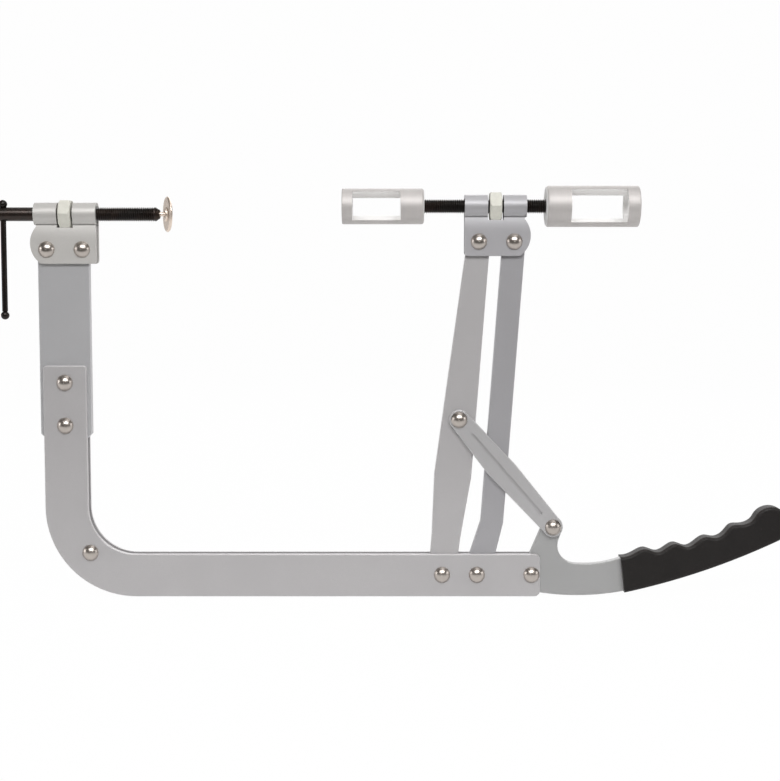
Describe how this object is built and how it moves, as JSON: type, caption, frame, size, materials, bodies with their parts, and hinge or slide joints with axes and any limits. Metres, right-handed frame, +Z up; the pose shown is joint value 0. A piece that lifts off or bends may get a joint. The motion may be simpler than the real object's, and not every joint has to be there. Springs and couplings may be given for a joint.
{
  "type": "valve spring compressor",
  "caption": "C-frame overhead valve spring compressor: feed screw with swivel pad on the post, toggle lever, links and parallel arms that carry a jaw with two windowed adaptors.",
  "frame": {"origin": "middle of the overall box in X and Y, on the plane of the rail's lower edge", "axes": "+X from the feed screw towards the handle, +Z up along the post, -Y towards the viewer, with the mid-plane of the steel at Y = 0"},
  "size_m": [0.5662, 0.0288, 0.2912],
  "materials": {
    "painted_steel": "satin silver-grey paint over stamped steel",
    "nickel": "bright nickel plate",
    "zinc": "pale zinc plate",
    "black_steel": "black oxide with an oil film",
    "grip": "dull black dipped vinyl",
    "bright_aluminium": "satin turned and milled aluminium"
  },
  "bodies": {
    "frame": {"frame_plate_front": "painted_steel", "frame_plate_rear": "painted_steel", "upright_post": "painted_steel", "post_rivet_upper": "nickel", "post_rivet_lower": "nickel", "corner_rivet": "nickel", "corner_spacer": "painted_steel", "screw_saddle": "painted_steel", "screw_saddle_rivet_inner": "nickel", "screw_saddle_rivet_outer": "nickel", "screw_nut": "zinc", "front_arm_pivot": "nickel", "rear_arm_pivot": "nickel", "lever_pivot": "nickel"},
    "lever": {"lever_plate": "painted_steel", "grip": "grip"},
    "link": {"link_plate_front": "painted_steel", "link_plate_rear": "painted_steel", "link_arm_pivot": "nickel", "link_lever_pivot": "nickel"},
    "front_arm": {"front_arm": "painted_steel"},
    "rear_arm": {"rear_arm": "painted_steel"},
    "jaw": {"jaw_saddle": "painted_steel", "jaw_front_pivot": "nickel", "jaw_rear_pivot": "nickel", "jaw_nut": "zinc"},
    "small_adaptor": {"small_adaptor": "bright_aluminium"},
    "jaw_stud": {"jaw_stud": "black_steel"},
    "large_adaptor": {"large_adaptor": "bright_aluminium"},
    "pad_pin": {"pad_pin": "nickel"},
    "feed_screw": {"feed_screw": "black_steel"},
    "sliding_bar": {"sliding_bar": "black_steel", "bar_ball_upper": "black_steel", "bar_ball_lower": "black_steel"},
    "swivel_pad": {"swivel_pad": "nickel"}
  },
  "joints": [
    {"name": "lever_swing", "type": "hinge", "parent": "frame", "child": "lever", "pos_m": [0.098, 0, 0.0157], "axis": [0, -1, 0], "range_deg": [0, 64]},
    {"name": "link_swing", "type": "hinge", "parent": "lever", "child": "link", "pos_m": [0.11315, 0, 0.04975], "axis": [0, -1, 0], "range_deg": [-64.1, 0]},
    {"name": "front_arm_swing", "type": "hinge", "parent": "frame", "child": "front_arm", "pos_m": [0.0343, 0, 0.0157], "axis": [0, -1, 0], "range_deg": [0, 20.7]},
    {"name": "rear_arm_swing", "type": "hinge", "parent": "frame", "child": "rear_arm", "pos_m": [0.0591, 0, 0.0157], "axis": [0, -1, 0], "range_deg": [0, 20.7]},
    {"name": "jaw_level", "type": "hinge", "parent": "front_arm", "child": "jaw", "pos_m": [0.0595, 0, 0.2521], "axis": [0, -1, 0], "range_deg": [-20.7, 0]},
    {"name": "stud_feed", "type": "slide", "parent": "jaw", "child": "small_adaptor", "axis": [1, 0, 0], "range_m": [-0.00975, 0.027]},
    {"name": "stud_turn", "type": "hinge", "parent": "small_adaptor", "child": "jaw_stud", "pos_m": [0.0211, 0, 0.2768], "axis": [1, 0, 0], "range_deg": [-2345, 6485]},
    {"name": "large_adaptor_turn", "type": "hinge", "parent": "jaw_stud", "child": "large_adaptor", "pos_m": [0.1064, 0, 0.2768], "axis": [1, 0, 0], "continuous": true},
    {"name": "screw_feed", "type": "slide", "parent": "frame", "child": "pad_pin", "axis": [1, 0, 0], "range_m": [-0.0435, 0.0075]},
    {"name": "screw_turn", "type": "hinge", "parent": "pad_pin", "child": "feed_screw", "pos_m": [-0.1645, 0, 0.2713], "axis": [1, 0, 0], "range_deg": [-10440, 1800]},
    {"name": "bar_slide", "type": "slide", "parent": "feed_screw", "child": "sliding_bar", "axis": [0, 0, 1], "range_m": [0, 0.063]},
    {"name": "pad_tilt", "type": "hinge", "parent": "pad_pin", "child": "swivel_pad", "pos_m": [-0.16085, 0, 0.2713], "axis": [0, 0, 1], "range_deg": [-42, 2]}
  ],
  "couplings": [
    {"joint": "link_swing", "follows": "lever_swing", "ratio": -1},
    {"joint": "front_arm_swing", "follows": "lever_swing", "ratio": 0.32209},
    {"joint": "rear_arm_swing", "follows": "lever_swing", "ratio": 0.32209},
    {"joint": "jaw_level", "follows": "lever_swing", "ratio": -0.32209},
    {"joint": "stud_turn", "follows": "stud_feed", "rad_per_m": 4188.8},
    {"joint": "screw_feed", "follows": "screw_turn", "m_per_rad": 0.00023873}
  ]
}
